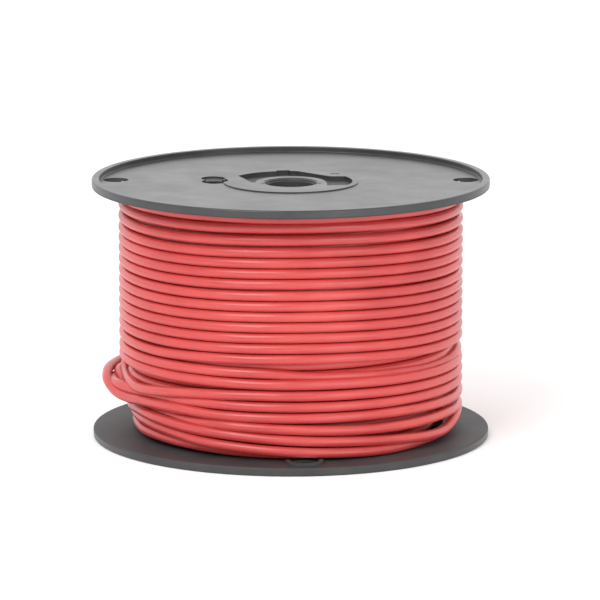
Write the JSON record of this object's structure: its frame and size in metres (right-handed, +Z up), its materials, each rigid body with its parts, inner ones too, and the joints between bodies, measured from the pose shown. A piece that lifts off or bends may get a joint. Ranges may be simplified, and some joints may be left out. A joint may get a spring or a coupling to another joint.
{
  "type": "wire spool",
  "caption": "Moulded spool with two rimmed flanges and a central arbor hole, wound with red insulated stranded wire and standing on one flange.",
  "frame": {"origin": "centre of the floor face under the lower flange's rim", "axes": "+Z up along the spool's axis; +X to the right and +Y away from the front, where the loose turn is on the left at -X"},
  "size_m": [0.165, 0.165, 0.1086],
  "materials": {
    "flange_plastic": "black moulded polystyrene with a satin gloss",
    "barrel_plastic": "black extruded polystyrene tube, matt",
    "insulation": "glossy red wire insulation",
    "copper": "bare bright copper strand"
  },
  "bodies": {
    "root": {"upper_flange": "flange_plastic", "lower_flange": "flange_plastic", "barrel_tube": "barrel_plastic", "wire_layer_01": "insulation", "wire_layer_02": "insulation", "wire_layer_03": "insulation", "wire_layer_04": "insulation", "wire_layer_05": "insulation", "wire_layer_06": "insulation", "wire_layer_07": "insulation", "wire_layer_08": "insulation", "wire_layer_09": "insulation", "wire_layer_10": "insulation", "wire_layer_11": "insulation", "loose_turn": "insulation", "wire_end_insulation": "insulation", "wire_end_strands": "copper"}
  },
  "joints": []
}
